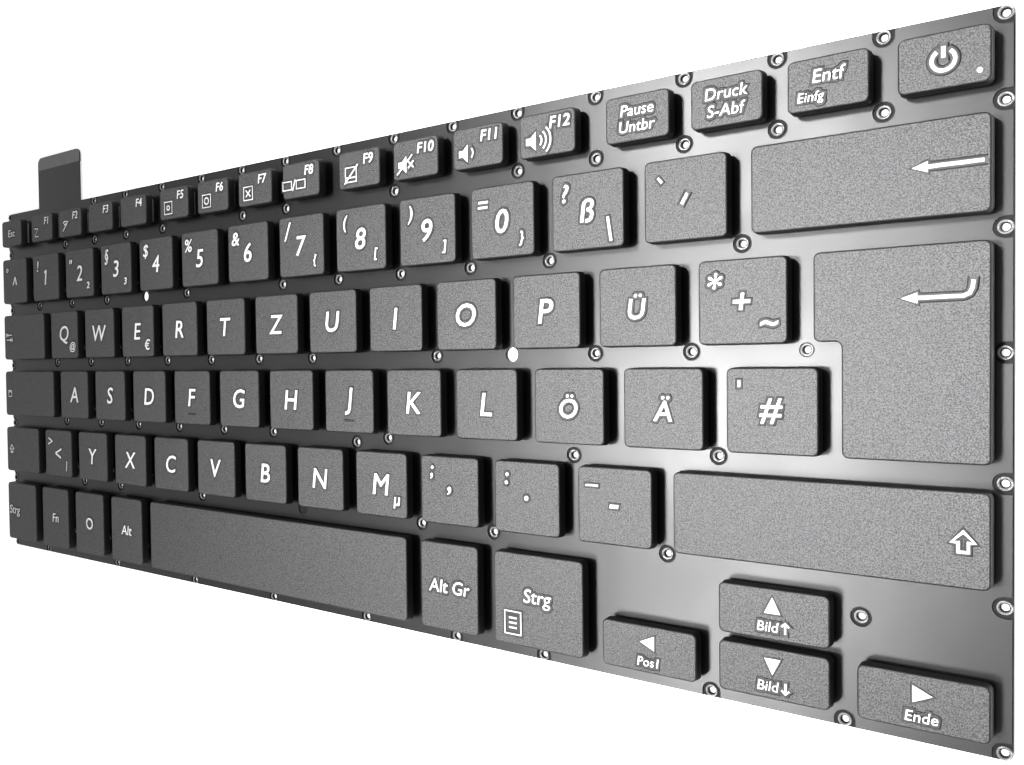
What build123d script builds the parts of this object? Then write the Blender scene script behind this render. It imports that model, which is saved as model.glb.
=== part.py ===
"""Scissor-switch keyboard module for a laptop: 82 island keys in an ISO layout on a stamped plate. Millimetres, +Z up.

The origin is the centre of the plate's back face. The space bar side is -Y and the function row side is +Y.
"""

import os
from math import asin, atan, cos, degrees, pi

from build123d import *

os.makedirs("parts", exist_ok=True)

# Carrier plate, stamped from sheet metal
plate_thickness = 0.5
plate_corner = 1.0

# Switch membrane, three bonded films that lie on the plate
film_thickness = 0.3
film_edge_inset = 0.15

# Key grid
key_pitch = 19.05
key_width = 15.0
key_depth = 14.5
row_gap = 4.0
function_row_gap = 4.3
side_margin = 2.4
end_margin = 3.15
tab_width = 24.9
caps_width = 29.7
enter_width = 19.85
left_shift_width = 20.05
left_control_width = 17.5
right_control_width = 20.3
bottom_key_depth = 18.7
arrow_width = 18.2
arrow_row_gap = 1.4
function_depth = 8.4
function_gap = 3.95
function_group_gap = 2.4

# Keycap shell
key_height = 3.65
key_travel = 1.4
press_clearance = 0.15
cap_roof = 0.8
cap_wall = 0.9
cap_corner = 0.75
cap_draft = 3.0

# Scissor links, the U-shaped frames that cross under each cap
link_thickness = 0.6
link_bar = 0.85
link_nest_clearance = 0.3
link_seat_clearance = 0.05
link_side_room = 0.8
link_end_room = 1.55
low_link_bar = 0.6
low_link_nest_clearance = 0.2
low_link_side_room = 0.2
low_link_end_room = 0.45

# Rubber domes
dome_base_radius = 3.0
dome_top_radius = 1.7
low_dome_base_radius = 1.35
low_dome_top_radius = 0.95
dome_sides = 5

# Stabiliser wires under the wide keys
wire_size = 0.7
wire_reach = 4.6
wire_wall_clearance = 0.4
wire_key_width = 24.0

# Stake holes in the plate and the cut-outs round them in the film
stake_radius = 0.7
stake_sides = 6
stake_lift = 0.9
stake_shift = -0.7
lone_stake_right = 1.8
lone_stake_drop = 5.4
cutout_radius = 1.4
edge_stake_inset = 1.1
guide_radius = 1.5
guide_sides = 8
small_cutout_radius = 1.0
space_slot_pitch = 31.6
space_slot_count = 3

# Connector tail, a tongue of the membrane, and its stiffener
tail_left = 19.6
tail_width = 24.0
tail_length = 16.0
tail_corner = 1.2
stiffener_depth = 4.0
stiffener_thickness = 0.2

# Key counts of the home row and of the function row
home_key_count = 12
function_key_count = 17
function_group_count = 4

# Plate size, which follows from the key field
key_gap = key_pitch - key_width
field_length = caps_width + key_gap + home_key_count * key_pitch + enter_width
main_rows_depth = 4 * (row_gap + key_depth)
field_depth = bottom_key_depth + main_rows_depth + function_row_gap + function_depth
plate_length = field_length + 2 * side_margin
plate_depth = field_depth + 2 * end_margin

# Widths and depths of the small keys
function_gaps = (function_key_count - 1) * function_gap + function_group_count * function_group_gap
function_width = (field_length - function_gaps) / function_key_count
function_pitch = function_width + function_gap
arrow_depth = (bottom_key_depth - arrow_row_gap) / 2

# Levels, counted from the plate's back face
film_bottom = plate_thickness
film_top = film_bottom + film_thickness
cap_top = film_top + key_height
skirt_height = key_height - key_travel - press_clearance
cap_bottom = cap_top - skirt_height
cap_ceiling = cap_top - cap_roof

# Limits of the key field
left = -field_length / 2
right = field_length / 2
front = -field_depth / 2
back = field_depth / 2

# Front edge of each row of keys
bottom_row_y = front
shift_row_y = bottom_row_y + bottom_key_depth + row_gap
home_row_y = shift_row_y + key_depth + row_gap
letter_row_y = home_row_y + key_depth + row_gap
number_row_y = letter_row_y + key_depth + row_gap
function_row_y = back - function_depth

# Every key by name: left edge, front edge, width and depth
keys = {}


def run_of_keys(names, start, front_edge, width, depth, pitch):
    """Lay out a run of equal keys from left to right and return the right edge of the last one."""
    for place, name in enumerate(names):
        keys[name] = (start + place * pitch, front_edge, width, depth)
    return start + (len(names) - 1) * pitch + width


def fill_key(name, start, end, front_edge, depth):
    """Lay out one key that takes up what is left between two edges."""
    keys[name] = (start, front_edge, end - start, depth)


# Function row, laid out in groups of four from the right, with escape in the left corner
function_groups = [
    ["pause", "print", "delete", "power"],
    ["f9", "f10", "f11", "f12"],
    ["f5", "f6", "f7", "f8"],
    ["f1", "f2", "f3", "f4"],
]
group_right = right
for group in function_groups:
    group_left = group_right - (len(group) - 1) * function_pitch - function_width
    run_of_keys(group, group_left, function_row_y, function_width, function_depth, function_pitch)
    group_right = group_left - function_gap - function_group_gap
fill_key("escape", left, group_right, function_row_y, function_depth)

# Number row
number_names = ["caret", "1", "2", "3", "4", "5", "6", "7", "8", "9", "0", "sharp_s", "acute"]
number_end = run_of_keys(number_names, left, number_row_y, key_width, key_depth, key_pitch)
fill_key("backspace", number_end + key_gap, right, number_row_y, key_depth)

# Upper letter row
letter_names = ["q", "w", "e", "r", "t", "z", "u", "i", "o", "p", "u_umlaut", "plus"]
fill_key("tab", left, left + tab_width, letter_row_y, key_depth)
letter_start = left + tab_width + key_gap
letter_end = run_of_keys(letter_names, letter_start, letter_row_y, key_width, key_depth, key_pitch)

# Home row
home_names = ["a", "s", "d", "f", "g", "h", "j", "k", "l", "o_umlaut", "a_umlaut", "hash"]
fill_key("caps", left, left + caps_width, home_row_y, key_depth)
home_start = left + caps_width + key_gap
home_end = run_of_keys(home_names, home_start, home_row_y, key_width, key_depth, key_pitch)

# The enter key spans two rows: this is its lower, narrower part, and its upper part reaches further left
fill_key("enter", home_end + key_gap, right, home_row_y, 2 * key_depth + row_gap)
enter_upper_left = letter_end + key_gap

# Shift row
shift_names = ["angle", "y", "x", "c", "v", "b", "n", "m", "comma", "period", "hyphen"]
fill_key("left_shift", left, left + left_shift_width, shift_row_y, key_depth)
shift_start = left + left_shift_width + key_gap
shift_end = run_of_keys(shift_names, shift_start, shift_row_y, key_width, key_depth, key_pitch)
fill_key("right_shift", shift_end + key_gap, right, shift_row_y, key_depth)

# Bottom row, from both ends towards the space bar
modifier_start = left + left_control_width + key_gap
fill_key("left_control", left, left + left_control_width, bottom_row_y, bottom_key_depth)
modifier_end = run_of_keys(
    ["fn", "system", "alt"], modifier_start, bottom_row_y, key_width, bottom_key_depth, key_pitch
)
arrow_pitch = arrow_width + key_gap
arrow_start = right - 2 * arrow_pitch - arrow_width
run_of_keys(
    ["arrow_left", "arrow_down", "arrow_right"], arrow_start, bottom_row_y, arrow_width, arrow_depth, arrow_pitch
)
arrow_up_y = bottom_row_y + bottom_key_depth - arrow_depth
run_of_keys(["arrow_up"], arrow_start + arrow_pitch, arrow_up_y, arrow_width, arrow_depth, arrow_pitch)
right_control_start = arrow_start - key_gap - right_control_width
alt_graph_start = right_control_start - key_gap - key_width
fill_key("right_control", right_control_start, arrow_start - key_gap, bottom_row_y, bottom_key_depth)
fill_key("alt_graph", alt_graph_start, right_control_start - key_gap, bottom_row_y, bottom_key_depth)
fill_key("space", modifier_end + key_gap, alt_graph_start - key_gap, bottom_row_y, bottom_key_depth)

# The caps of the two upper rows share one piece file
upper_names = sum(function_groups, ["escape"]) + number_names + ["backspace"]


def key_centre(name):
    """Centre of a key in plan."""
    start, front_edge, width, depth = keys[name]
    return (start + width / 2, front_edge + depth / 2)


def cap_outline(name):
    """Draw a cap's plan outline in the sketch that is open."""
    with Locations(key_centre(name)):
        Rectangle(*keys[name][2:])
    if name == "enter":
        with Locations(((enter_upper_left + right) / 2, letter_row_y + key_depth / 2)):
            Rectangle(right - enter_upper_left, key_depth)


def keycap(name):
    """One cap: a drafted shell with a flat top, open below."""
    with BuildPart() as cap:
        with BuildSketch(Plane.XY.offset(cap_top)):
            cap_outline(name)
        extrude(amount=-skirt_height, taper=-cap_draft)
        chamfer(cap.edges().group_by(Axis.Z)[1], cap_corner)
        with BuildSketch(Plane.XY.offset(cap_bottom)):
            cap_outline(name)
            offset(amount=-cap_wall, kind=Kind.INTERSECTION)
        extrude(amount=skirt_height - cap_roof, mode=Mode.SUBTRACT)
    return cap.part


def tilted_frame(width, length, bar, thickness, open_side):
    """A U-shaped frame round the Z axis that rises from the film at -Y to the cap's ceiling at +Y.

    It is open at its high end where open_side is 1 and at its low end where it is -1.
    """
    slope = degrees(asin((link_rise - thickness) / length))
    middle = film_top + link_seat_clearance + link_rise / 2
    with BuildPart() as frame:
        with BuildSketch(Plane((0, 0, middle)).rotated((slope, 0, 0))):
            Rectangle(width, length)
            with Locations((0, open_side * bar)):
                Rectangle(width - 2 * bar, length, mode=Mode.SUBTRACT)
        extrude(amount=thickness / 2, both=True)
    return frame.part


# Room for the mechanism between the film and the cap's ceiling
link_rise = cap_ceiling - film_top - 2 * link_seat_clearance
link_width = key_width - 2 * cap_wall - 2 * link_side_room
link_length = key_depth - 2 * cap_wall - 2 * link_end_room
low_link_width = min(function_depth, arrow_depth) - 2 * cap_wall - 2 * low_link_side_room
low_link_length = function_width - 2 * cap_wall - 2 * low_link_end_room

# Keys as deep as a letter key have the full mechanism, with its links along Y
# The function and arrow keys have a low one, turned so that its links run along X
full_keys = [name for name in keys if keys[name][3] >= key_depth]
low_keys = [name for name in keys if keys[name][3] < key_depth]


def link_group(width, length, low_width, low_length, turn):
    """The same link under every key, at its full and its low size."""
    full_link = tilted_frame(width, length, link_bar, link_thickness, 1)
    low_link = tilted_frame(low_width, low_length, low_link_bar, link_thickness, 1)
    with BuildPart() as links:
        with Locations(*[Location((*key_centre(name), 0), (0, 0, turn)) for name in full_keys]):
            add(full_link)
        with Locations(*[Location((*key_centre(name), 0), (0, 0, turn + 90)) for name in low_keys]):
            add(low_link)
    return links.part


inner_width = link_width - 2 * link_bar - 2 * link_nest_clearance
low_inner_width = low_link_width - 2 * low_link_bar - 2 * low_link_nest_clearance
outer_links = link_group(link_width, link_length, low_link_width, low_link_length, 0)
inner_links = link_group(inner_width, link_length, low_inner_width, low_link_length, 180)


def dome(base_radius, top_radius):
    """A rubber dome that stands on the film and carries a cap."""
    inset = (base_radius - top_radius) * cos(pi / dome_sides)
    height = cap_ceiling - film_top
    with BuildPart() as cup:
        with BuildSketch(Plane.XY.offset(film_top)):
            RegularPolygon(base_radius, dome_sides)
        extrude(amount=height, taper=degrees(atan(inset / height)))
    return cup.part


full_dome = dome(dome_base_radius, dome_top_radius)
low_dome = dome(low_dome_base_radius, low_dome_top_radius)
with BuildPart() as domes:
    with Locations(*[(*key_centre(name), 0) for name in full_keys]):
        add(full_dome)
    with Locations(*[(*key_centre(name), 0) for name in low_keys]):
        add(low_dome)

# Stabiliser wires: a bar under the cap's rear wall, or the enter key's right wall, with two legs to the film
wire_keys = [name for name in full_keys if keys[name][2] > wire_key_width]
wire_setback = cap_wall + wire_wall_clearance + wire_reach / 2


def stabiliser(key_length):
    """The wire of a key of this length."""
    return tilted_frame(key_length - 2 * cap_wall - 2 * wire_wall_clearance, wire_reach, wire_size, wire_size, -1)


with BuildPart() as wires:
    for name in wire_keys:
        start, front_edge, width, depth = keys[name]
        with Locations((start + width / 2, front_edge + depth - wire_setback, 0)):
            add(stabiliser(width))
    with Locations(Location((right - wire_setback, key_centre("enter")[1], 0), (0, 0, -90))):
        add(stabiliser(keys["enter"][3]))

# Names of the keys along each row, for the gaps between them
function_order = ["escape"] + sum(reversed(function_groups), [])
number_order = number_names + ["backspace"]
letter_order = ["tab"] + letter_names
home_order = ["caps"] + home_names + ["enter"]
shift_order = ["left_shift"] + shift_names + ["right_shift"]
bottom_order = ["left_control", "fn", "system", "alt", "space"]
arrow_order = ["arrow_left", "arrow_down", "arrow_right"]


def gap_before(order, name):
    """Middle of the gap between a key and the one on its left."""
    before = keys[order[order.index(name) - 1]]
    return (before[0] + before[2] + keys[name][0]) / 2


def stakes_before(order, names, y):
    """Stake places in the gaps before these keys, at one depth."""
    return [(gap_before(order, name) + stake_shift, y) for name in names]


# Middle of each gap between rows
function_gap_y = (function_row_y + number_row_y + key_depth) / 2
number_gap_y = number_row_y - row_gap / 2
letter_gap_y = letter_row_y - row_gap / 2
home_gap_y = home_row_y - row_gap / 2
shift_gap_y = shift_row_y - row_gap / 2

# Stakes between the keys, each just below the row above it
enter_gap_x = letter_end + key_gap / 2
function_staked = ["f2", "f3", "f4", "f5", "f7", "f8", "f10", "f12", "pause", "print", "delete", "power"]
number_staked = ["1", "2", "3", "5", "7", "8", "9", "0", "sharp_s", "backspace"]
letter_staked = ["q", "w", "e", "r", "t", "z", "u", "o", "u_umlaut", "plus"]
home_staked = ["a", "s", "d", "f", "g", "h", "k", "hash"]
shift_staked = ["y", "x", "v", "comma", "period", "right_shift"]
inner_stakes = [
    *stakes_before(function_order, function_staked, function_gap_y + stake_lift),
    *stakes_before(number_order, number_staked, number_gap_y + stake_lift),
    *stakes_before(letter_order, letter_staked, letter_gap_y + stake_lift),
    *stakes_before(home_order, home_staked, home_gap_y + stake_lift),
    *stakes_before(shift_order, ["m", "hyphen"], home_gap_y - stake_lift / 2),
    *stakes_before(shift_order, shift_staked, shift_gap_y + stake_lift),
    (gap_before(arrow_order, "arrow_right") + lone_stake_right, shift_gap_y - lone_stake_drop),
]
small_stake = (enter_gap_x, letter_gap_y + stake_lift)

# Two plain guide holes, and one cut-out with no hole under it
guide_holes = [
    *stakes_before(number_order, ["4"], number_gap_y + stake_lift),
    *stakes_before(letter_order, ["p"], letter_gap_y + stake_lift),
]
blind_cutout = (gap_before(shift_order, "n"), shift_gap_y + stake_lift)

# Stakes along the edges
edge_x = plate_length / 2 - edge_stake_inset
edge_y = plate_depth / 2 - edge_stake_inset
rear_stakes = stakes_before(function_order, function_order[function_order.index("f3") :], edge_y)
space_offsets = [space_slot_pitch * (place - (space_slot_count - 1) / 2) for place in range(space_slot_count)]
front_stakes = [
    *stakes_before(bottom_order, ["fn", "alt"], -edge_y),
    *[(key_centre("space")[0] + shift, -edge_y) for shift in space_offsets],
    (key_centre("alt_graph")[0] + stake_shift, -edge_y),
    (key_centre("right_control")[0] + stake_shift, -edge_y),
    *stakes_before(arrow_order, ["arrow_down", "arrow_right"], -edge_y),
]
side_gaps = [function_gap_y, number_gap_y, letter_gap_y, home_gap_y - stake_lift, shift_gap_y - stake_lift]
side_stakes = [(side * edge_x, y) for side in (-1, 1) for y in side_gaps]
corner_stakes = [(side * edge_x, end * edge_y) for side in (-1, 1) for end in (-1, 1)]

with BuildPart() as base_plate:
    with BuildSketch() as outline:
        Rectangle(plate_length, plate_depth)
        chamfer(outline.vertices(), plate_corner)
        with Locations(*inner_stakes, small_stake, *rear_stakes, *front_stakes, *side_stakes):
            RegularPolygon(stake_radius, stake_sides, mode=Mode.SUBTRACT)
        with Locations(*corner_stakes):
            Circle(stake_radius, mode=Mode.SUBTRACT)
        with Locations(*guide_holes):
            RegularPolygon(guide_radius, guide_sides, mode=Mode.SUBTRACT)
    extrude(amount=plate_thickness)

tail_x = tail_left + tail_width / 2 - plate_length / 2
tail_end = plate_depth / 2 + tail_length

with BuildPart() as membrane_sheet:
    with BuildSketch(Plane.XY.offset(film_bottom)) as film:
        Rectangle(plate_length - 2 * film_edge_inset, plate_depth - 2 * film_edge_inset)
        with Locations((tail_x, tail_end / 2)):
            Rectangle(tail_width, tail_end)
        chamfer(film.vertices().group_by(Axis.Y)[-1], tail_corner)
        with Locations(*inner_stakes, blind_cutout):
            RegularPolygon(cutout_radius, stake_sides, mode=Mode.SUBTRACT)
        with Locations(small_stake):
            RegularPolygon(small_cutout_radius, stake_sides, mode=Mode.SUBTRACT)
        with Locations(*guide_holes):
            RegularPolygon(guide_radius, guide_sides, mode=Mode.SUBTRACT)
        with Locations(*rear_stakes, *front_stakes, *side_stakes, *corner_stakes):
            Rectangle(2 * cutout_radius, 2 * cutout_radius, mode=Mode.SUBTRACT)
    extrude(amount=film_thickness)

with BuildPart() as tail_stiffener:
    with BuildSketch(Plane.XY.offset(film_bottom)) as strip:
        with Locations((tail_x, tail_end - stiffener_depth / 2)):
            Rectangle(tail_width, stiffener_depth)
        chamfer(strip.vertices().group_by(Axis.Y)[-1], tail_corner)
    extrude(amount=-stiffener_thickness)

with BuildPart() as upper_caps:
    for name in upper_names:
        add(keycap(name))

pieces = {
    "base_plate": base_plate.part,
    "membrane_sheet": membrane_sheet.part,
    "tail_stiffener": tail_stiffener.part,
    "rubber_domes": domes.part,
    "scissor_outer_links": outer_links,
    "scissor_inner_links": inner_links,
    "stabiliser_wires": wires.part,
    "upper_row_keycaps": upper_caps.part,
}
for name in keys:
    if name not in upper_names:
        pieces["key_" + name] = keycap(name)

for label, piece in pieces.items():
    piece.label = label
    export_step(piece, f"parts/{label}.step")
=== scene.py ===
"""Looks of a laptop keyboard module: grained, printed caps over a punched film and a steel plate."""

from collections import namedtuple
from math import cos, pi, radians, sin

import bpy
from mathutils import Matrix, Vector


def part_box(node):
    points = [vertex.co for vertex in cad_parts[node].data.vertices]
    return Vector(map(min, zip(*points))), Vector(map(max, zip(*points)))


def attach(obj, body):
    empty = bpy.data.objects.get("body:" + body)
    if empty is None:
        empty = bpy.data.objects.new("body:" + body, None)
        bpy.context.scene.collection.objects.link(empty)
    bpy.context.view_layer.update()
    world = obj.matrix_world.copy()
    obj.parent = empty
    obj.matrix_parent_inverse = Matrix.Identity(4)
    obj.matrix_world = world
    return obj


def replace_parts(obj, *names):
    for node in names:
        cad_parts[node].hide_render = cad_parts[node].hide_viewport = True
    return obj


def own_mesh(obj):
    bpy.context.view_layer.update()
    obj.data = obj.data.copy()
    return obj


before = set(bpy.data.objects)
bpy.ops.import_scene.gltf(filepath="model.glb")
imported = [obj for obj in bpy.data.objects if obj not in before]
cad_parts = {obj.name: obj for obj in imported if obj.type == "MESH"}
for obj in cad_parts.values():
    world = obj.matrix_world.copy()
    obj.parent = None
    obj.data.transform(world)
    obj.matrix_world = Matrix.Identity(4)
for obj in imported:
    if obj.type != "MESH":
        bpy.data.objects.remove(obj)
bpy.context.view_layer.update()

MM = 0.001

# Cap shell
CAP_CORNER = 1.05 * MM
CAP_EDGE = 0.25 * MM
CAP_DRAFT = 0.11 * MM
CAP_WALL = 0.9 * MM
CAP_ROOF = 0.8 * MM
TOP_RIM = 0.04 * MM
CORNER_STEPS = 5
EDGE_STEPS = 3
CAP_CREASE = radians(35)
FLAT_TURN = radians(1)
# Faces are picked by shares of the cap's height and of a straight normal
NEAR_TOP = 0.99
NEAR_FOOT = 0.01
FACING = 0.99

# Points closer than this are one point, and faces within this height are level
MERGED = 0.001 * MM
LEVEL = 0.01 * MM

# Print on the caps: how far it stands proud, and the clear lacquer round it
PRINT_RISE = 0.05 * MM
LACQUER_RISE = 0.008 * MM
PRINT_WEIGHT = 0.055 * MM
WORD_WEIGHT = 0.01 * MM
PRINT_SLANT = 0.13
LACQUER_SPREAD = 0.62 * MM
LINE_LACQUER = 1.6 * LACQUER_SPREAD
END_LACQUER = 0.8 * LACQUER_SPREAD
STROKE = 0.62 * MM
FINE_STROKE = 0.36 * MM
LETTER_SMOOTHNESS = 3
STROKE_SMOOTHNESS = 1

# Heights of the lettering
LETTER = 4.9 * MM
SHIFTED = 3.5 * MM
THIRD = 2.4 * MM
LABEL = 2.3 * MM
CAPITAL_SHARE = 0.73

# Places on a cap, as shares of its width and depth from its middle
MIDDLE = (0, 0)
UPPER_LEFT = (-0.3, 0.25)
LOWER_RIGHT = (0.3, -0.26)
LABEL_PLACE = (0.22, 0.24)
ICON_PLACE = (-0.2, -0.12)
ICON_SCALE = 1.65

FUNCTION_ROW = ["escape", *[f"f{number}" for number in range(1, 13)], "pause", "print", "delete", "power"]
NUMBER_ROW = ["caret", "1", "2", "3", "4", "5", "6", "7", "8", "9", "0", "sharp_s", "acute", "backspace"]

# Main, shifted and third sign of the keys that carry more than a letter
SIGNED_KEYS = {
    "caret": ("^", "°", ""),
    "1": ("1", "!", ""),
    "2": ("2", '"', "²"),
    "3": ("3", "§", "³"),
    "4": ("4", "$", ""),
    "5": ("5", "%", ""),
    "6": ("6", "&", ""),
    "7": ("7", "/", "{"),
    "8": ("8", "(", "["),
    "9": ("9", ")", "]"),
    "0": ("0", "=", "}"),
    "sharp_s": ("ß", "?", "\\"),
    "q": ("Q", "", "@"),
    "e": ("E", "", "€"),
    "u_umlaut": ("Ü", "", ""),
    "plus": ("+", "*", "~"),
    "o_umlaut": ("Ö", "", ""),
    "a_umlaut": ("Ä", "", ""),
    "hash": ("#", "", ""),
    "angle": ("<", ">", "|"),
    "m": ("M", "", "µ"),
    "comma": (",", ";", ""),
    "period": (".", ":", ""),
    "hyphen": ("-", "_", ""),
}
# Signs drawn larger or smaller than the letters beside them
SIGN_SCALES = {
    "Ä": 0.78,
    "Ö": 0.78,
    "Ü": 0.78,
    "#": 0.88,
    "+": 0.88,
    "*": 1.25,
    "~": 1.6,
    "\\": 1.9,
    "€": 1.2,
    "²": 1.6,
    "³": 1.6,
    "µ": 1.2,
    "ß": 0.92,
    "/": 1.3,
    "(": 0.85,
    ")": 0.85,
    "{": 0.9,
    "[": 0.9,
    "}": 0.9,
    "]": 0.9,
}

# Words on the caps: text, capital height in millimetres and place
WORDED_KEYS = {
    "escape": [("Esc", 2.4, MIDDLE)],
    "pause": [("Pause", 2.1, (0, 0.17)), ("Untbr", 2.1, (0, -0.17))],
    "print": [("Druck", 2.1, (0, 0.17)), ("S-Abf", 2.1, (0, -0.17))],
    "delete": [("Entf", 2.2, (0.02, 0.14)), ("Einfg", 1.6, (-0.2, -0.25))],
    "left_control": [("Strg", 2.9, (-0.26, 0))],
    "fn": [("Fn", 2.9, MIDDLE)],
    "alt": [("Alt", 2.9, MIDDLE)],
    "alt_graph": [("Alt Gr", 2.9, MIDDLE)],
    "right_control": [("Strg", 2.85, (0, 0.03))],
    "arrow_left": [("Pos1", 1.7, (0, -0.26))],
    "arrow_up": [("Bild", 1.75, (-0.04, -0.24))],
    "arrow_down": [("Bild", 1.75, (-0.04, -0.24))],
    "arrow_right": [("Ende", 1.75, (0, -0.25))],
}


def arc(radius, start, end, steps=16, middle=(0, 0)):
    """Points along an arc, its angles in degrees."""
    turns = [radians(start + (end - start) * step / steps) for step in range(steps + 1)]
    return [(middle[0] + radius * cos(turn), middle[1] + radius * sin(turn)) for turn in turns]


def square(half):
    """Corner points of a square."""
    return [(-half, -half), (half, -half), (half, half), (-half, half), (-half, -half)]


# Drawn signs, in millimetres: place on the cap, lines, and filled outlines
SPEAKER = [(-1.3, -0.4), (-0.7, -0.4), (0, -1.1), (0, 1.1), (-0.7, 0.4), (-1.3, 0.4)]
SCREEN = [(-0.9, -0.6), (0.9, -0.6), (0.9, 0.6), (-0.9, 0.6), (-0.9, -0.6)]
SHIFT_ARROW = [
    (0, 1.9),
    (1.7, 0.1),
    (0.75, 0.1),
    (0.75, -1.5),
    (-0.75, -1.5),
    (-0.75, 0.1),
    (-1.7, 0.1),
    (0, 1.9),
]
POINTER = [(1.5, 0), (-1.2, 1.3), (-1.2, -1.3)]
DRAWN_KEYS = {
    "1": (MIDDLE, [[(-0.75, 1.4), (0.2, 2.15)]], []),
    "f1": (ICON_PLACE, [[(-1.0, 0.6), (0.2, 0.6), (-1.0, -0.9), (0.3, -0.9)]], []),
    "f2": (ICON_PLACE, [arc(1.0, 40, 140), arc(0.5, 30, 150), [(-0.9, -0.8), (0.9, 1.0)]], []),
    "f5": (ICON_PLACE, [square(1.0), arc(0.35, 0, 360)], []),
    "f6": (ICON_PLACE, [square(1.0), arc(0.5, 0, 360)], []),
    "f7": (ICON_PLACE, [square(1.0), [(-0.5, -0.5), (0.5, 0.5)], [(-0.5, 0.5), (0.5, -0.5)]], []),
    "f8": (
        ICON_PLACE,
        [[(x - 1.3, y) for x, y in SCREEN], [(x + 1.5, y) for x, y in SCREEN], [(-0.2, -0.8), (0.4, 0.8)]],
        [],
    ),
    "f9": (ICON_PLACE, [square(1.0), [(-1.0, -0.4), (1.0, -0.4)], [(-1.2, -1.2), (1.3, 1.3)]], []),
    "f10": (
        ICON_PLACE,
        [[(-1.6, -1.2), (1.0, 1.2)], [(0.3, -0.5), (1.2, 0.4)], [(0.3, 0.4), (1.2, -0.5)]],
        [SPEAKER],
    ),
    "f11": (ICON_PLACE, [arc(0.8, -45, 45, 8)], [SPEAKER]),
    "f12": (ICON_PLACE, [arc(0.8, -45, 45, 8), arc(1.4, -45, 45, 8), arc(2.0, -45, 45, 8)], [SPEAKER]),
    "acute": (
        MIDDLE,
        [[(-0.5, -0.9), (0.5, 0.9)]],
        [[(-5.05, 4.05), (-4.75, 4.3), (-4.05, 3.4), (-4.35, 3.15)]],
    ),
    "hash": (MIDDLE, [], [[(-5.5, 4.0), (-5.1, 4.0), (-5.1, 5.1), (-5.5, 5.1)]]),
    "power": (MIDDLE, [arc(1.55, 125, 415, 24), [(0, 0.3), (0, 2.0)]], []),
    "backspace": ((0.335, 0.02), [[(4.7, 0), (-3.2, 0)]], [[(-4.7, 0), (-2.6, 0.8), (-2.6, -0.8)]]),
    "tab": (
        (-0.37, 0),
        [
            [(1.7, 0.8), (-1.2, 0.8)],
            [(-1.9, 1.5), (-1.9, 0.1)],
            [(-1.7, -0.8), (1.2, -0.8)],
            [(1.9, -0.1), (1.9, -1.5)],
        ],
        [[(-1.8, 0.8), (-0.7, 1.4), (-0.7, 0.2)], [(1.8, -0.8), (0.7, -1.4), (0.7, -0.2)]],
    ),
    "caps": ((-0.4, 0), [arc(0.7, 0, 180, 10, (0, 0.1)), square(1.0)], []),
    "enter": (
        (0.22, 0.255),
        [[(-3.4, 0), (3.3, 0), (4.1, 0.35), (4.5, 1.2), (4.6, 2.3)]],
        [[(-5.0, 0), (-2.8, 0.8), (-2.8, -0.8)]],
    ),
    "left_shift": ((-0.34, 0), [[(0.75 * x, 0.75 * y) for x, y in SHIFT_ARROW]], []),
    "right_shift": ((0.425, -0.03), [[(0.9 * x, 0.9 * y) for x, y in SHIFT_ARROW]], []),
    "system": (MIDDLE, [arc(1.5, 0, 360, 24)], []),
    "right_control": (
        (-0.28, -0.26),
        [[(1.9 * x, 2.3 * y) for x, y in square(1.0)], *[[(-0.9, y), (0.9, y)] for y in (-1.0, 0, 1.0)]],
        [],
    ),
    "arrow_left": ((0, 0.14), [], [[(-x, y) for x, y in POINTER]]),
    "arrow_right": ((0, 0.14), [], [POINTER]),
    "arrow_up": ((0, 0.15), [], [[(y, x) for x, y in POINTER]]),
    "arrow_down": ((0, 0.15), [], [[(y, -x) for x, y in POINTER]]),
}
# The thin arrows that follow the words on two arrow keys
PAGE_ARROWS = {"arrow_up": 1, "arrow_down": -1}
PAGE_ARROW = [[(0, -0.9), (0, 0.9)], [(-0.6, 0.3), (0, 0.95), (0.6, 0.3)]]
PAGE_ARROW_PLACE = (0.115, -0.24)
FINE_SIGNS = [*[f"f{number}" for number in range(1, 13)], "right_control", "tab", "caps"]
HOMING_KEYS = ["f", "j"]
HOMING_PLACE = (0, -0.3)
HOMING_REACH = 1.6 * MM
HOMING_WIDTH = 0.5 * MM
LED_PLACE = (0.37, -0.28)
LED_OUTLINE = arc(0.38, 0, 330, 11)


def pick(*objects):
    """Select these objects alone, the first as the active one."""
    bpy.ops.object.select_all(action="DESELECT")
    for item in objects:
        item.select_set(True)
    bpy.context.view_layer.objects.active = objects[0]


def edit_faces(item, wanted):
    """Open a piece in edit mode with the faces selected that a test on their middle and normal picks."""
    pick(item)
    bpy.context.tool_settings.mesh_select_mode = (False, False, True)
    bpy.ops.object.mode_set(mode="EDIT")
    bpy.ops.mesh.select_all(action="DESELECT")
    bpy.ops.object.mode_set(mode="OBJECT")
    for face in item.data.polygons:
        face.select = wanted(face.center, face.normal)
    bpy.ops.object.mode_set(mode="EDIT")


def close_edit():
    """Leave edit mode and return the piece."""
    bpy.ops.object.mode_set(mode="OBJECT")
    return bpy.context.view_layer.objects.active


def settle(item, place):
    """Move a piece to its place and put that place in its mesh."""
    pick(item)
    item.location = place
    bpy.ops.object.transform_apply(location=True, rotation=True, scale=True)
    return item


def another(item, name):
    """A copy of a piece with its own mesh."""
    twin = item.copy()
    twin.data = item.data.copy()
    twin.name = name
    bpy.context.scene.collection.objects.link(twin)
    return twin


def joined(name, items):
    """Several meshes as one piece."""
    pick(*items)
    if len(items) > 1:
        bpy.ops.object.join()
    made = bpy.context.view_layer.objects.active
    made.name = name
    return made


# Materials


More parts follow.
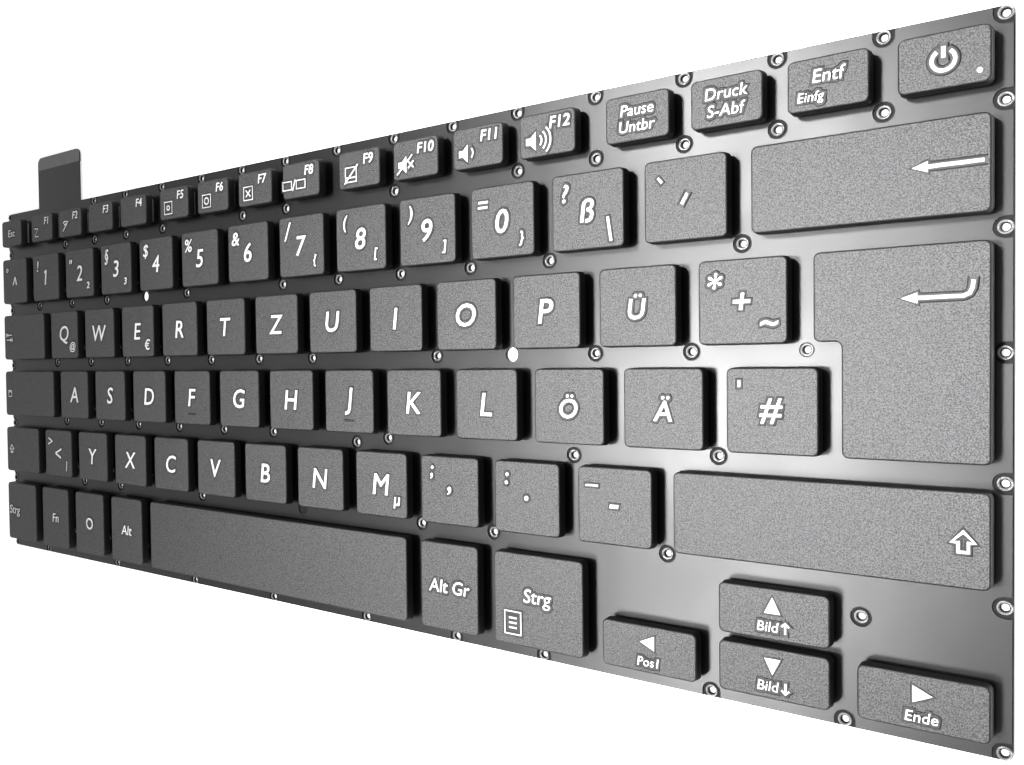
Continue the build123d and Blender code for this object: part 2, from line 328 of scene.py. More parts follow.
class Wire:
    """A socket in a material; arithmetic on it adds Math nodes, and node() adds any other."""

    def __init__(self, tree, socket):
        self.tree = tree
        self.socket = socket

    def node(self, kind, settings, values, output=0):
        made = self.tree.nodes.new(kind)
        for key, setting in settings.items():
            if key == "stops":
                for stop, (at, colour) in zip(made.color_ramp.elements, setting):
                    stop.position = at
                    stop.color = (*colour, 1)
            else:
                setattr(made, key, setting)
        for key, value in values.items():
            if isinstance(value, Wire):
                self.tree.links.new(value.socket, made.inputs[key])
            else:
                made.inputs[key].default_value = value
        return Wire(self.tree, made.outputs[output])

    def maths(self, operation, first, second):
        return self.node("ShaderNodeMath", {"operation": operation}, {0: first, 1: second})

    def __add__(self, other):
        return self.maths("ADD", self, other)

    def __radd__(self, other):
        return self.maths("ADD", other, self)

    def __mul__(self, other):
        return self.maths("MULTIPLY", self, other)

    def __rmul__(self, other):
        return self.maths("MULTIPLY", other, self)

    def noise(self, scale, detail=2.0, stretch=(1, 1, 1)):
        """Cloudy noise, its scale in cells per millimetre."""
        cells = [scale / MM * share for share in stretch]
        place = self.node("ShaderNodeMapping", {}, {"Vector": self, "Scale": cells})
        return self.node("ShaderNodeTexNoise", {}, {"Vector": place, "Scale": 1.0, "Detail": detail}, "Fac")

    def tones(self, dark, light, low=0.3, high=0.7):
        """A colour between two, by this value."""
        stops = [(low, dark), (high, light)]
        return self.node("ShaderNodeValToRGB", {"stops": stops}, {"Fac": self}, "Color")


def finish(name, colour, roughness, grain=None, strength=0.0, depth=0.0, **fixed):
    """A procedural finish: colour, roughness and grain are functions of the place on the piece."""
    made = bpy.data.materials.new(name)
    made.use_nodes = True
    tree = made.node_tree
    shader = tree.nodes["Principled BSDF"]
    for socket, value in fixed.items():
        shader.inputs[socket.replace("_", " ").title().replace("Ior", "IOR")].default_value = value
    place = Wire(tree, tree.nodes.new("ShaderNodeTexCoord").outputs["Object"])
    tree.links.new(colour(place).socket, shader.inputs["Base Color"])
    tree.links.new(roughness(place).socket, shader.inputs["Roughness"])
    if grain:
        sockets = {"Strength": strength, "Distance": depth, "Height": grain(place)}
        bump = place.node("ShaderNodeBump", {}, sockets, "Normal")
        tree.links.new(bump.socket, shader.inputs["Normal"])
    return made


COOL_TINT = 1.02


def grey(level):
    """A grey with a touch of blue."""
    return (level, level, level * COOL_TINT)


cap_plastic = finish(
    "grained_plastic",
    lambda place: place.noise(4.5, 3).tones(grey(0.008), grey(0.092), 0.33, 0.67),
    lambda place: 0.34 + 0.24 * place.noise(5.5),
    lambda place: place.noise(5.2, 2),
    strength=0.35,
    depth=0.1 * MM,
    specular_ior_level=0.2,
)
# Smooth plastic for the caps' sides, inside and homing bars. Its near-black colour, far darker than the
# grained top of the same plastic, is painted shade on the walls.
smooth_plastic_painted_shade = finish(
    "smooth_plastic_painted_shade",
    lambda place: place.noise(2.0, 3).tones(grey(0.005), grey(0.008)),
    lambda place: 0.45 + 0.15 * place.noise(1.5, 3),
    specular_ior_level=0.3,
)
legend_print = finish(
    "white_print",
    lambda place: place.noise(2.0).tones(grey(0.78), grey(0.86)),
    lambda place: 0.45 + 0.1 * place.noise(4.0),
)
clear_lacquer = finish(
    "clear_lacquer",
    lambda place: place.noise(2.0).tones(grey(0.05), grey(0.06)),
    lambda place: 0.5 + 0.1 * place.noise(4.0),
    specular_ior_level=0.15,
)
film_black = finish(
    "satin_film",
    lambda place: place.noise(0.05, 3).tones(grey(0.004), grey(0.007)),
    lambda place: 0.27 + 0.08 * place.noise(0.08, 3),
    lambda place: place.noise(0.12, 1),
    strength=0.12,
    depth=0.3 * MM,
    specular_ior_level=0.25,
)
# Near-black, almost unreflecting paint on the plate's top and edges. It is partly the plate's real black
# paint and partly painted shade, so the grooves round the eyelets read dark. The underside takes the lighter
# satin paint below.
plate_paint_shade = finish(
    "plate_paint_and_groove_shade",
    lambda place: place.noise(0.8, 3, (0.1, 3, 1)).tones(grey(0.008), grey(0.016)),
    lambda place: 0.4 + 0.2 * place.noise(0.8, 3, (0.1, 3, 1)),
    specular_ior_level=0.05,
)
plate_back = finish(
    "satin_paint",
    lambda place: place.noise(0.3, 3).tones(grey(0.022), grey(0.034)),
    lambda place: 0.36 + 0.14 * place.noise(0.6, 3),
    lambda place: place.noise(2.5, 2),
    strength=0.1,
    depth=0.05 * MM,
    specular_ior_level=0.45,
)
eyelet_metal = finish(
    "bare_collar",
    lambda place: place.noise(3.0, 3).tones(grey(0.11), grey(0.17)),
    lambda place: 0.25 + 0.2 * place.noise(3.0, 3),
    metallic=0.3,
)
link_plastic = finish(
    "pale_link",
    lambda place: place.noise(1.5).tones(grey(0.6), grey(0.7)),
    lambda place: 0.4 + 0.15 * place.noise(2.0),
)
dome_rubber = finish(
    "pale_rubber",
    lambda place: place.noise(1.5).tones(grey(0.42), grey(0.52)),
    lambda place: 0.6 + 0.2 * place.noise(2.0),
)
spring_wire = finish(
    "drawn_wire",
    lambda place: place.noise(2.0, 3, (1, 0.2, 1)).tones(grey(0.5), grey(0.65)),
    lambda place: 0.25 + 0.15 * place.noise(2.0, 3),
    metallic=1.0,
)
tail_print = finish(
    "tail_print",
    lambda place: place.noise(0.6, 2).tones(grey(0.07), grey(0.1)),
    lambda place: 0.35 + 0.15 * place.noise(0.6, 2),
)


def dress(item, *finishes):
    """Give a piece its finishes."""
    item.data.materials.clear()
    for one in finishes:
        item.data.materials.append(one)
    return item


# Places of the keys, read from the frame


def face_points(node):
    """Corner points of each face of a solid."""
    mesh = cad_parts[node].data
    return [[mesh.vertices[corner].co for corner in face.vertices] for face in mesh.polygons]


def stretches(faces, axis):
    """The stretches of an axis that these faces cover, from low to high."""
    reach = sorted((min(point[axis] for point in face), max(point[axis] for point in face)) for face in faces)
    found = [list(reach[0])]
    for low, high in reach[1:]:
        if low <= found[-1][1]:
            found[-1][1] = max(found[-1][1], high)
        else:
            found.append([low, high])
    return found


def within(face, axis, stretch):
    """Whether a face lies in a stretch of an axis."""
    return all(stretch[0] <= point[axis] <= stretch[1] for point in face)


key_boxes = {node.removeprefix("key_"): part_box(node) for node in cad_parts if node.startswith("key_")}
upper_faces = face_points("upper_row_keycaps")
upper_low, upper_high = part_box("upper_row_keycaps")
for names, row in zip((NUMBER_ROW, FUNCTION_ROW), stretches(upper_faces, 1)):
    row_faces = [face for face in upper_faces if within(face, 1, row)]
    for name, column in zip(names, stretches(row_faces, 0)):
        low = Vector((column[0], row[0], upper_low.z))
        key_boxes[name] = (low, Vector((column[1], row[1], upper_high.z)))

film_low, film_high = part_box("membrane_sheet")
plate_low, plate_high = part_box("base_plate")
film_top = film_high.z


def body_of_key(name):
    """The body a key's cap rides on."""
    return "key_" + name if "key_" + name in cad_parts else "module"


# Caps


def flat_blank(width, depth):
    """A flat rectangle about the origin, open in edit mode and selected all over."""
    bpy.ops.object.select_all(action="DESELECT")
    bpy.ops.mesh.primitive_plane_add(size=1)
    bpy.ops.object.mode_set(mode="EDIT")
    bpy.ops.mesh.select_all(action="SELECT")
    bpy.ops.transform.resize(value=(width, depth, 1))


def mould_cap(width, depth, height):
    """Raise the flat outline that is open in edit mode to a hollow cap with rounded corners and edges."""
    bpy.ops.mesh.select_all(action="SELECT")
    bpy.ops.mesh.bevel(offset=CAP_CORNER, segments=CORNER_STEPS, affect="VERTICES")
    bpy.ops.mesh.select_all(action="SELECT")
    bpy.ops.mesh.extrude_region_move(TRANSFORM_OT_translate={"value": (0, 0, height)})
    shrink = (1 - 2 * CAP_DRAFT / width, 1 - 2 * CAP_DRAFT / depth, 1)
    bpy.ops.transform.resize(value=shrink, center_override=(0, 0, height))
    bpy.ops.mesh.bevel(offset=CAP_EDGE, segments=EDGE_STEPS, affect="EDGES")
    cap = close_edit()
    edit_faces(cap, lambda middle, normal: middle.z > height * NEAR_TOP and normal.z > FACING)
    bpy.ops.mesh.inset(thickness=TOP_RIM)
    cap = close_edit()
    edit_faces(cap, lambda middle, normal: middle.z < height * NEAR_FOOT)
    bpy.ops.mesh.inset(thickness=CAP_WALL)
    bpy.ops.mesh.extrude_region_move(TRANSFORM_OT_translate={"value": (0, 0, height - CAP_ROOF)})
    bpy.ops.mesh.select_all(action="SELECT")
    bpy.ops.mesh.normals_make_consistent(inside=False)
    cap = close_edit()
    # The top keeps the grained plastic; walls and inside take the darker smooth plastic, which is painted
    # shade.
    dress(cap, cap_plastic, smooth_plastic_painted_shade)
    for face in cap.data.polygons:
        on_top = face.center.z > height * NEAR_TOP and face.normal.z > FACING
        face.material_index = 0 if on_top else 1
    pick(cap)
    bpy.ops.object.shade_smooth_by_angle(angle=CAP_CREASE)
    return cap


def plain_cap(width, depth, height):
    """A rectangular cap."""
    flat_blank(width, depth)
    return mould_cap(width, depth, height)


def stepped_cap(width, depth, height, step_width, step_depth):
    """The enter key's cap, with a step cut from its lower left corner."""
    flat_blank(width - step_width, depth)
    bpy.ops.transform.translate(value=(step_width / 2, 0, 0))
    bpy.ops.mesh.bisect(plane_co=(0, step_depth - depth / 2, 0), plane_no=(0, 1, 0))
    blank = close_edit()
    pick(blank)
    bpy.context.tool_settings.mesh_select_mode = (False, True, False)
    for edge in blank.data.edges:
        ends = [blank.data.vertices[corner].co for corner in edge.vertices]
        at_side = all(end.x < step_width - width / 2 + CAP_DRAFT for end in ends)
        above_step = all(end.y > step_depth - depth / 2 - CAP_DRAFT for end in ends)
        edge.select = at_side and above_step
    for corner in blank.data.vertices:
        corner.select = False
    for face in blank.data.polygons:
        face.select = False
    bpy.ops.object.mode_set(mode="EDIT")
    bpy.ops.mesh.extrude_region_move(TRANSFORM_OT_translate={"value": (-step_width, 0, 0)})
    bpy.ops.mesh.select_all(action="SELECT")
    bpy.ops.mesh.dissolve_limited(angle_limit=FLAT_TURN)
    return mould_cap(width, depth, height)


def enter_step():
    """Width and depth of the step in the enter key, from its solid."""
    low, high = key_boxes["enter"]
    points = [point for face in face_points("key_enter") for point in face if point.z < low.z + CAP_DRAFT]
    lower_left = min(point.x for point in points if point.y < low.y + CAP_WALL)
    upper_front = min(point.y for point in points if point.x < low.x + CAP_WALL / 2)
    return lower_left - low.x - CAP_CORNER / 2, upper_front - low.y - CAP_CORNER / 2


# Caps whose sizes in millimetres agree to these digits share a pattern
SIZE_DIGITS = 2
cap_height = upper_high.z - upper_low.z - PRINT_RISE
cap_patterns = {}


def cap_of(name):
    """A key's cap in its place, copied from the pattern of its size."""
    low, high = key_boxes[name]
    size = high - low
    pattern = (round(size.x / MM, SIZE_DIGITS), round(size.y / MM, SIZE_DIGITS))
    if pattern not in cap_patterns:
        if name == "enter":
            cap_patterns[pattern] = stepped_cap(size.x, size.y, cap_height, *enter_step())
        else:
            cap_patterns[pattern] = plain_cap(size.x, size.y, cap_height)
    middle = (low + high) / 2
    return settle(another(cap_patterns[pattern], "cap_" + name), (middle.x, middle.y, low.z))


# Legends


def centred(item, place, level, finish_of_print):
    """Centre a thin mesh over a place at a height."""
    corners = [Vector(corner) for corner in item.bound_box]
    middle = sum(corners, Vector()) / len(corners)
    settle(item, (place[0] - middle.x, place[1] - middle.y, level))
    return dress(item, finish_of_print)


def lettering(text, height, place, spread, level, top, finish_of_print):
    """A word or sign as a thin mesh: filled, or a rim of a given spread along its edges."""
    bpy.ops.object.select_all(action="DESELECT")
    bpy.ops.object.text_add()
    word = bpy.context.view_layer.objects.active
    word.data.body = text
    word.data.size = height / CAPITAL_SHARE
    word.data.resolution_u = LETTER_SMOOTHNESS
    word.data.shear = PRINT_SLANT
    if spread:
        bpy.ops.object.convert(target="CURVE")
        word = bpy.context.view_layer.objects.active
        word.data.dimensions = "3D"
        word.data.fill_mode = "FULL"
        word.data.bevel_depth = spread
        word.data.bevel_resolution = STROKE_SMOOTHNESS
        word.scale.z = (top - level) / spread
    else:
        word.data.extrude = top - level
    bpy.ops.object.convert(target="MESH")
    return centred(bpy.context.view_layer.objects.active, place, level, finish_of_print)


def drawn_line(points, width, level, top, finish_of_print):
    """A line of the given width through points, as a thin mesh."""
    curve = bpy.data.curves.new("line", "CURVE")
    curve.dimensions = "3D"
    curve.bevel_depth = width / 2
    curve.bevel_resolution = STROKE_SMOOTHNESS
    curve.use_fill_caps = True
    line = curve.splines.new("POLY")
    line.use_cyclic_u = points[0] == points[-1]
    corners = points[1:] if line.use_cyclic_u else points
    line.points.add(len(corners) - 1)
    for point, (x, y) in zip(line.points, corners):
        point.co = (x, y, 0, 1)
    item = bpy.data.objects.new("line", curve)
    bpy.context.scene.collection.objects.link(item)
    pick(item)
    bpy.ops.object.convert(target="MESH")
    item = bpy.context.view_layer.objects.active
    item.scale.z = 2 * (top - level) / width
    settle(item, (0, 0, level))
    return dress(item, finish_of_print)


def lengthened(points):
    """An open line drawn on past both ends by the spread of the lacquer; a closed line stays."""
    if points[0] == points[-1]:
        return points
    ends = []
    for end, inner in ((points[0], points[1]), (points[-1], points[-2])):
        end = Vector(end)
        ends.append(tuple(end + (end - Vector(inner)).normalized() * END_LACQUER))
    return [ends[0], *points[1:-1], ends[1]]


def flat_sheet(name, outlines, thickness, middle_z):
    """A flat sheet with the first outline round it and the others cut out of it."""
    curve = bpy.data.curves.new(name, "CURVE")
    curve.dimensions = "2D"
    curve.fill_mode = "BOTH"
    curve.extrude = thickness / 2
    for outline in outlines:
        edge = curve.splines.new("POLY")
        edge.points.add(len(outline) - 1)
        edge.use_cyclic_u = True
        for point, (x, y) in zip(edge.points, outline):
            point.co = (x, y, 0, 1)
    item = bpy.data.objects.new(name, curve)
    bpy.context.scene.collection.objects.link(item)
    pick(item)
    bpy.ops.object.convert(target="MESH")
    item = bpy.context.view_layer.objects.active
    bpy.ops.object.mode_set(mode="EDIT")
    bpy.ops.mesh.select_all(action="SELECT")
    bpy.ops.mesh.remove_doubles(threshold=MERGED)
    bpy.ops.mesh.normals_make_consistent(inside=False)
    return settle(close_edit(), (0, 0, middle_z))


cap_face = upper_high.z - PRINT_RISE
LACQUER_LAYER = (cap_face, cap_face + LACQUER_RISE, clear_lacquer)
PRINT_LAYER = (upper_high.z - PRINT_RISE / 2, upper_high.z, legend_print)


def legends_of(name):
    """All print on a key's cap, in its place."""
    low, high = key_boxes[name]
    middle, size = (low + high) / 2, high - low
    made = []

    def at(share):
        return (middle.x + share[0] * size.x, middle.y + share[1] * size.y)

    def write(text, height, share, weight=PRINT_WEIGHT):
        if text:
            made.append(lettering(text, height, at(share), LACQUER_SPREAD, *LACQUER_LAYER))
            made.append(lettering(text, height, at(share), weight, *PRINT_LAYER))
            made.append(lettering(text, height, at(share), 0, *PRINT_LAYER))

    def draw(points, share, width=STROKE):
        x, y = at(share)
        route = [(x + across * MM, y + along * MM) for across, along in points]
        made.append(drawn_line(lengthened(route), width + LINE_LACQUER, *LACQUER_LAYER))
        made.append(drawn_line(route, width, *PRINT_LAYER))

    def fill(points, share):
        x, y = at(share)
        outline = [(x + across * MM, y + along * MM) for across, along in points]
        rim = outline + outline[:1]
        made.append(drawn_line(rim, 2 * LACQUER_SPREAD, *LACQUER_LAYER))
        made.append(dress(flat_sheet("sign", [outline], PRINT_RISE, PRINT_LAYER[0]), legend_print))

    if name in SIGNED_KEYS:
        main, shifted, third = SIGNED_KEYS[name]
        write(main, LETTER * SIGN_SCALES.get(main, 1), MIDDLE)
        write(shifted, SHIFTED * SIGN_SCALES.get(shifted, 1), UPPER_LEFT)
        write(third, THIRD * SIGN_SCALES.get(third, 1), LOWER_RIGHT)
    elif len(name) == 1:
        write(name.upper(), LETTER, MIDDLE)
    elif name[0] == "f" and name[1:].isdigit():
        write(name.upper(), LABEL, LABEL_PLACE)
    for text, height, share in WORDED_KEYS.get(name, []):
        write(text, height * MM, share, WORD_WEIGHT)
    if name in DRAWN_KEYS:
        share, lines, fills = DRAWN_KEYS[name]
        enlarged = ICON_SCALE if share == ICON_PLACE else 1
        width = FINE_STROKE if name in FINE_SIGNS else STROKE
        for points in lines:
            draw([(enlarged * x, enlarged * y) for x, y in points], share, width)
        for points in fills:
            fill([(enlarged * x, enlarged * y) for x, y in points], share)
    if name in PAGE_ARROWS:
        for points in PAGE_ARROW:
            draw([(x, PAGE_ARROWS[name] * y) for x, y in points], PAGE_ARROW_PLACE, FINE_STROKE)
    if name == "power":
        x, y = at(LED_PLACE)
        lens = [(x + across * MM, y + along * MM) for across, along in LED_OUTLINE]
        made.append(dress(flat_sheet("lens", [lens], PRINT_RISE, PRINT_LAYER[0]), legend_print))
    if name in HOMING_KEYS:
        x, y = at(HOMING_PLACE)
        bar = [(x - HOMING_REACH, y), (x + HOMING_REACH, y)]
        made.append(drawn_line(bar, HOMING_WIDTH, cap_face, upper_high.z, smooth_plastic_painted_shade))
    return made


for name in key_boxes:
    cap = joined("cap_" + name, [cap_of(name), *legends_of(name)])
    body = body_of_key(name)
    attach(cap, body)
    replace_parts(cap, "upper_row_keycaps" if body == "module" else body)
for pattern in cap_patterns.values():
    bpy.data.objects.remove(pattern)

# Film, plate and eyelets

PLATE_CORNER = 1.5 * MM
TAIL_CORNER = 2.0 * MM
ROUND_STEPS = 24
QUARTER_STEPS = 8
TAIL_STEPS = 6
# A stake hole this close to a side has a slot in the film's edge
EDGE_REACH = 3.0 * MM
SLOT_RADIUS = 1.65 * MM
SLOT_STEPS = 14
# The film's cut-outs are eased round the stakes; the wider guide holes keep their size
FILM_EASE = 0.25 * MM
WIDEST_CUTOUT = 1.45 * MM
# Corners that agree to these digits of a metre are one corner
PLACE_DIGITS = 6


def edge_loops(node, level):
    """Closed edge loops of a sheet's face at one height, the outer edge first."""
    following = {}
    for face in face_points(node):
        if all(abs(point.z - level) < LEVEL for point in face):
            corners = [(round(point.x, PLACE_DIGITS), round(point.y, PLACE_DIGITS)) for point in face]
            for first, second in zip(corners, corners[1:] + corners[:1]):
                if first in following.get(second, set()):
                    following[second].remove(first)
                else:
                    following.setdefault(first, set()).add(second)
    following = {first: ends for first, ends in following.items() if ends}
    loops = []
    while following:
        start = next(iter(following))
        loop, point = [start], following[start].pop()
        if not following[start]:
            del following[start]
        while point != start:
            loop.append(point)
            onward = following[point].pop()
            if not following[point]:
                del following[point]
            point = onward
        loops.append(loop)
    return sorted(loops, key=lambda loop: min(x for x, y in loop))


def hole_of(loop):
    """Middle and radius of a round hole's loop."""
    x = sum(point[0] for point in loop) / len(loop)
    y = sum(point[1] for point in loop) / len(loop)
    return Vector((x, y)), max((Vector(point) - Vector((x, y))).length for point in loop)


def ring(middle, radius):
    """Points round a circle."""
    turns = [2 * pi * step / ROUND_STEPS for step in range(ROUND_STEPS)]
    return [(middle.x + radius * cos(turn), middle.y + radius * sin(turn)) for turn in turns]


plate_holes = [hole_of(loop) for loop in edge_loops("base_plate", plate_high.z)[1:]]
film_holes = [hole_of(loop) for loop in edge_loops("membrane_sheet", film_high.z)[1:]]
edge_holes = [
    middle
    for middle, radius in plate_holes
    if not any((middle - other).length < MM for other, wide in film_holes)
]
stiffener_low, stiffener_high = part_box("tail_stiffener")


Side = namedtuple("Side", "start along inward length")


def sheet_edge(reach_x, reach_y, cuts_of):
    """Points round a sheet's edge, anticlockwise from its lower left corner.

    For each straight side, cuts_of gives runs of steps ahead along the side and aside into the sheet.
    """
    starts = [(-reach_x, -reach_y), (reach_x, -reach_y), (reach_x, reach_y), (-reach_x, reach_y)]
    ways = [(1, 0), (0, 1), (-1, 0), (0, -1)]
    lengths = [2 * reach_x, 2 * reach_y] * 2
    walk = []
    for start, way, length in zip(starts, ways, lengths):
        side = Side(Vector(start), Vector(way), Vector((-way[1], way[0])), length)
        for steps in sorted(cuts_of(side), key=lambda steps: steps[0][0]):
            walk.extend(side.start + side.along * ahead + side.inward * aside for ahead, aside in steps)
    return [(point.x, point.y) for point in walk]


def round_corner(length, radius):
    """Steps round a plain corner at the end of a side."""
    return [(length - radius + across, radius - along) for along, across in arc(radius, 0, 90, QUARTER_STEPS)]


def plate_cuts(side):
    """The corner at the end of one side of the plate."""
    return [round_corner(side.length, PLATE_CORNER)]


def film_cuts(side):
    """Slots, corner and tail of one side of the film."""
    cuts = []
    for middle in edge_holes:
        offset = middle - side.start
        ahead, aside = offset.dot(side.along), offset.dot(side.inward)
        if aside > EDGE_REACH or ahead < EDGE_REACH:
            continue
        if ahead > side.length - EDGE_REACH:
            bend = [(ahead - x, aside + y) for x, y in arc(SLOT_RADIUS, 0, 90, QUARTER_STEPS)]
            cuts.append([(ahead - SLOT_RADIUS, 0), *bend, (side.length, aside + SLOT_RADIUS)])
        else:
            bend = [(ahead - x, aside + y) for x, y in arc(SLOT_RADIUS, 0, 180, SLOT_STEPS)]
            cuts.append([(ahead - SLOT_RADIUS, 0), *bend, (ahead + SLOT_RADIUS, 0)])
    if side.along.x < 0:
        near, far = side.start.x - stiffener_high.x, side.start.x - stiffener_low.x
        reach = film_high.y - side.start.y
        bend = arc(TAIL_CORNER, 0, 90, TAIL_STEPS)
        first = [(near + TAIL_CORNER - x, TAIL_CORNER - reach - y) for x, y in bend]
        last = [(far - TAIL_CORNER + x, TAIL_CORNER - reach - y) for x, y in reversed(bend)]
        cuts.append([(near, 0), *first, *last, (far, 0)])
    return cuts


film_thickness = film_high.z - film_low.z
plate_outlines = [sheet_edge(plate_high.x, plate_high.y, plate_cuts)]
plate_outlines += [ring(middle, radius) for middle, radius in plate_holes]
plate = flat_sheet("plate", plate_outlines, plate_high.z - plate_low.z, (plate_high.z + plate_low.z) / 2)
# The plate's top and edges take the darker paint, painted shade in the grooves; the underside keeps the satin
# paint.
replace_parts(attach(dress(plate, plate_paint_shade, plate_back), "module"), "base_plate")
for face in plate.data.polygons:
    face.material_index = 1 if face.normal.z < -FACING else 0

film_reach_y = plate_high.y - (plate_high.x - film_high.x)
film_outlines = [sheet_edge(film_high.x, film_reach_y, film_cuts)]
film_outlines += [
    ring(middle, radius + FILM_EASE if radius < WIDEST_CUTOUT else radius) for middle, radius in film_holes
]
film = flat_sheet("film", film_outlines, film_thickness, (film_high.z + film_low.z) / 2)
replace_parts(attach(dress(film, film_black), "module"), "membrane_sheet")

# Eyelets pressed up round the stake holes

# Holes wider than this are plain guide holes, with no eyelet
WIDEST_STAKE = 1.2 * MM
# Radius and height above the plate, in millimetres, along an eyelet's wall from its foot into the hole
EYELET_WALL = [
    (1.1, 0.0),
    (1.09, 0.2),
    (1.05, 0.27),
    (0.96, 0.29),
    (0.82, 0.26),
    (0.7, 0.12),
    (0.56, -0.05),
    (0.54, -0.4),
]
# Inside this radius the eyelet's wall, down in the hole, takes the plate's near-black finish as painted shade
SHADED_BORE = 0.72 * MM

bpy.ops.object.select_all(action="DESELECT")
foot_radius = EYELET_WALL[0][0]
bpy.ops.mesh.primitive_circle_add(vertices=ROUND_STEPS, radius=foot_radius * MM)
bpy.context.tool_settings.mesh_select_mode = (True, True, False)
bpy.ops.object.mode_set(mode="EDIT")
bpy.ops.mesh.select_all(action="SELECT")
for (radius, height), (next_radius, next_height) in zip(EYELET_WALL, EYELET_WALL[1:]):
    bpy.ops.mesh.extrude_region_move(TRANSFORM_OT_translate={"value": (0, 0, (next_height - height) * MM)})
    share = next_radius / radius
    bpy.ops.transform.resize(value=(share, share, 1), center_override=(0, 0, 0))
bpy.ops.mesh.select_all(action="SELECT")
bpy.ops.mesh.normals_make_consistent(inside=False)
eyelet = close_edit()
bpy.ops.object.shade_smooth()
# The lip keeps the collar metal; the bore inside the hole takes the near-black plate finish, which is painted
# shade.
dress(eyelet, eyelet_metal, plate_paint_shade)
for face in eyelet.data.polygons:
    face.material_index = 1 if face.center.xy.length < SHADED_BORE else 0
eyelet_rings = [
    settle(another(eyelet, "eyelet"), (middle.x, middle.y, plate_high.z))
    for middle, radius in plate_holes
    if radius < WIDEST_STAKE
]
bpy.data.objects.remove(eyelet)
eyelets = joined("eyelets", eyelet_rings)
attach(eyelets, "module")

# Contact end of the tail

BAND_RISE = 0.02 * MM
bend_right = (stiffener_high.x - TAIL_CORNER, stiffener_high.y - TAIL_CORNER)
bend_left = (stiffener_low.x + TAIL_CORNER, stiffener_high.y - TAIL_CORNER)
band_outline = [
    (stiffener_low.x, stiffener_low.y),
    (stiffener_high.x, stiffener_low.y),
    *arc(TAIL_CORNER, 0, 90, TAIL_STEPS, bend_right),
    *arc(TAIL_CORNER, 90, 180, TAIL_STEPS, bend_left),
]
band = flat_sheet("tail_band", [band_outline], BAND_RISE, film_top + BAND_RISE / 2)
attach(dress(band, tail_print), "module")
strip_height = stiffener_high.z - stiffener_low.z
strip = flat_sheet("tail_strip", [band_outline], strip_height, (stiffener_low.z + stiffener_high.z) / 2)
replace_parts(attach(dress(strip, tail_print), "module"), "tail_stiffener")

# Scissor links, domes and wires under each cap

DOME_SIDES = 24
DOME_CREASE = radians(40)
DOME_FOOT = 0.1 * MM


def loose_copies(node, finish_of_piece):
    """Each separate solid of a node as a mesh of its own."""
    item = bpy.data.objects.new(node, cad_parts[node].data.copy())
    bpy.context.scene.collection.objects.link(item)
    dress(item, finish_of_piece)
    pick(item)
    bpy.ops.object.mode_set(mode="EDIT")
    bpy.ops.mesh.select_all(action="SELECT")
    bpy.ops.mesh.remove_doubles(threshold=MERGED)
    bpy.ops.mesh.separate(type="LOOSE")
    bpy.ops.object.mode_set(mode="OBJECT")
    return list(bpy.context.selected_objects)


def key_over(item):
    """Name of the key whose cap stands over a mesh."""
    corners = [Vector(corner) for corner in item.bound_box]
    middle = sum(corners, Vector()) / len(corners)
    for name, (low, high) in key_boxes.items():
        if low.x < middle.x < high.x and low.y < middle.y < high.y:
            return name


def round_dome(item):
    """A round dome in place of a faceted one."""
    points = [point.co for point in item.data.vertices]
    base = [point for point in points if point.z < film_top + DOME_FOOT]
    crown = [point for point in points if point.z > film_top + DOME_FOOT]
    middle = sum(base, Vector()) / len(base)
    top = max(point.z for point in crown)
    wide = max((point - middle).xy.length for point in base)
    narrow = max((point - middle).xy.length for point in crown)
    bpy.ops.object.select_all(action="DESELECT")
    bpy.ops.mesh.primitive_cone_add(vertices=DOME_SIDES, radius1=wide, radius2=narrow, depth=top - film_top)
    dome = bpy.context.view_layer.objects.active
    bpy.ops.object.shade_smooth_by_angle(angle=DOME_CREASE)
    bpy.data.objects.remove(item)
    return dress(settle(dome, (middle.x, middle.y, (top + film_top) / 2)), dome_rubber)


under_key = {name: [] for name in key_boxes}
for node in ("scissor_outer_links", "scissor_inner_links"):
    for item in loose_copies(node, link_plastic):
        under_key[key_over(item)].append(item)
for item in loose_copies("stabiliser_wires", spring_wire):
    under_key[key_over(item)].append(item)
for item in loose_copies("rubber_domes", dome_rubber):
    under_key[key_over(item)].append(round_dome(item))

for name, items in under_key.items():
    low, high = key_boxes[name]
    mechanism = joined("mechanism_" + name, items)
    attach(mechanism, "module")
    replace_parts(mechanism, "scissor_outer_links", "scissor_inner_links", "stabiliser_wires", "rubber_domes")
    if body_of_key(name) != "module":
        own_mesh(mechanism)

# Camera, floor and light

CAMERA_PLACE = (160.26 * MM, 5.2 * MM, 163.04 * MM)
CAMERA_YAW = 0.6775
CAMERA_PITCH = -0.0247
CAMERA_ROLL = -0.0137
CAMERA_LENS = 32.82
SENSOR_WIDTH = 36
CAMERA_SHIFT = 0.0996

view = bpy.data.cameras.new("camera")
view.sensor_fit = "HORIZONTAL"
view.sensor_width = SENSOR_WIDTH
view.lens = CAMERA_LENS
view.shift_x = CAMERA_SHIFT
view.clip_start = MM
camera = bpy.data.objects.new("camera", view)
yaw = Matrix.Rotation(CAMERA_YAW, 4, "Y")
pitch = Matrix.Rotation(CAMERA_PITCH, 4, "X")
roll = Matrix.Rotation(CAMERA_ROLL, 4, "Z")
camera.matrix_world = Matrix.Translation(CAMERA_PLACE) @ yaw @ pitch @ roll
bpy.context.scene.collection.objects.link(camera)
bpy.context.scene.camera = camera


def lit_ground(tree, shader, backdrop, output):
    """Show a backdrop to the camera and in reflections, and light the rest of the scene by a plain shader."""
    rays = tree.nodes.new("ShaderNodeLightPath").outputs
    reflected = Wire(tree, rays["Is Glossy Ray"]) + Wire(tree, rays["Is Transmission Ray"])
    shown = Wire(tree, rays["Is Camera Ray"]) + reflected
    ground = shown.node("ShaderNodeMixShader", {}, {0: shown, 1: shader, 2: backdrop})
    tree.links.new(ground.socket, tree.nodes[output].inputs["Surface"])


FLOOR_SIZE = 6000 * MM
FLOOR_DROP = 0.02 * MM
FLOOR_GLOW = 0.64
DAYLIGHT = 0.45

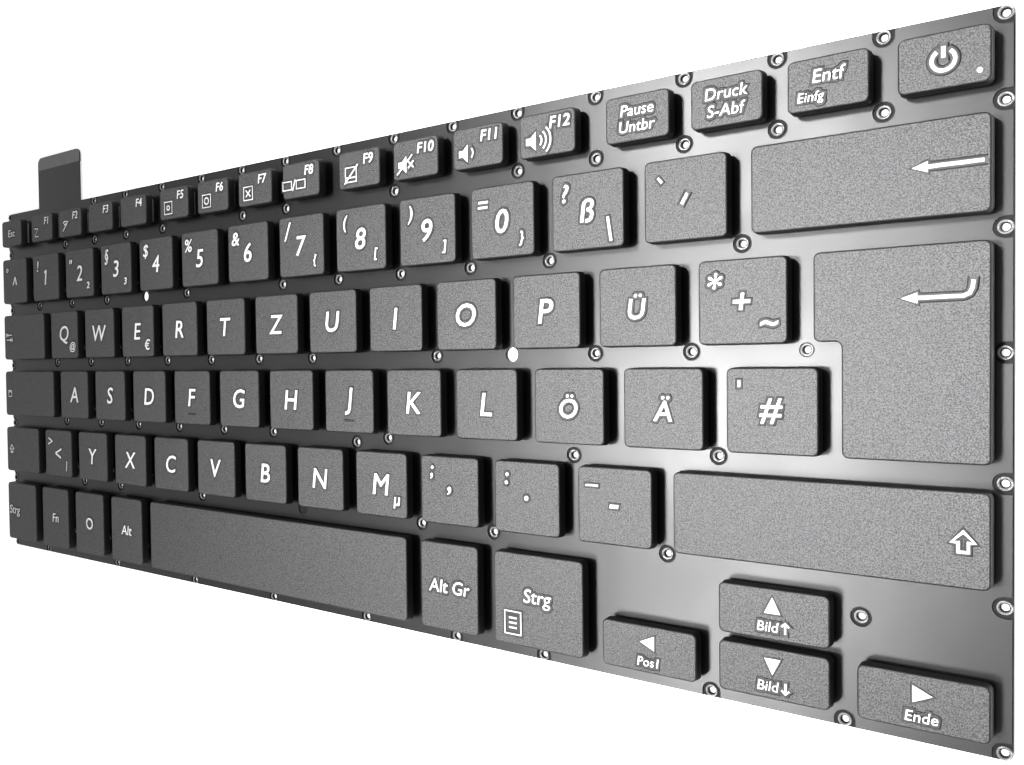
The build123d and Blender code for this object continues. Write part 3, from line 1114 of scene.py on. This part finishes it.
bpy.ops.object.select_all(action="DESELECT")
bpy.ops.mesh.primitive_plane_add(size=FLOOR_SIZE, location=(0, 0, -FLOOR_DROP))
floor = bpy.context.view_layer.objects.active
floor.name = "floor"
paper = finish(
    "pale_paper",
    lambda place: place.noise(0.02, 2).tones(grey(0.78), grey(0.8)),
    lambda place: 0.75 + 0.1 * place.noise(0.02, 2),
    specular_ior_level=0.0,
)
tree = paper.node_tree
matt = Wire(tree, tree.nodes["Principled BSDF"].outputs["BSDF"])
glow = matt.node("ShaderNodeEmission", {}, {"Color": (1, 1, 1, 1), "Strength": FLOOR_GLOW})
lit_ground(tree, matt, matt.node("ShaderNodeAddShader", {}, {0: matt, 1: glow}), "Material Output")
dress(floor, paper)

world = bpy.data.worlds.new("studio")
bpy.context.scene.world = world
world.use_nodes = True
tree = world.node_tree
room = Wire(tree, tree.nodes["Background"].outputs["Background"])
tree.nodes["Background"].inputs["Color"].default_value = (1, 1, 1, 1)
tree.nodes["Background"].inputs["Strength"].default_value = DAYLIGHT
backdrop = room.node("ShaderNodeBackground", {}, {"Color": (1, 1, 1, 1), "Strength": 1.0})
lit_ground(tree, room, backdrop, "World Output")


def soft_lamp(name, size, power, beam, place, aim):
    """A soft lamp with a beam of so many degrees that points at a spot."""
    lamp = bpy.data.lights.new(name, "AREA")
    lamp.shape = "RECTANGLE"
    lamp.size, lamp.size_y = size
    lamp.spread = radians(beam)
    lamp.energy = power
    item = bpy.data.objects.new(name, lamp)
    item.location = place
    item.rotation_euler = (Vector(aim) - Vector(place)).to_track_quat("-Z", "Y").to_euler()
    bpy.context.scene.collection.objects.link(item)


# Sizes and places in metres, power in watts and beams in degrees
WINDOW = (0.12, 0.3)
FILL = (0.5, 0.5)
soft_lamp("window_middle", WINDOW, power=0.28, beam=14, place=(-0.22, -0.04, 1.0), aim=(0.13, 0, 0))
soft_lamp("window_upper", WINDOW, power=0.24, beam=14, place=(-0.22, 0.28, 1.0), aim=(0.14, 0.05, 0))
soft_lamp("window_lower", WINDOW, power=0.18, beam=18, place=(-0.25, -0.36, 1.0), aim=(0.08, -0.05, 0))
soft_lamp("front_fill", FILL, power=0.3, beam=120, place=(-0.12, -0.4, 0.5), aim=(-0.12, 0, 0))

bpy.context.scene.view_settings.view_transform = "Standard"
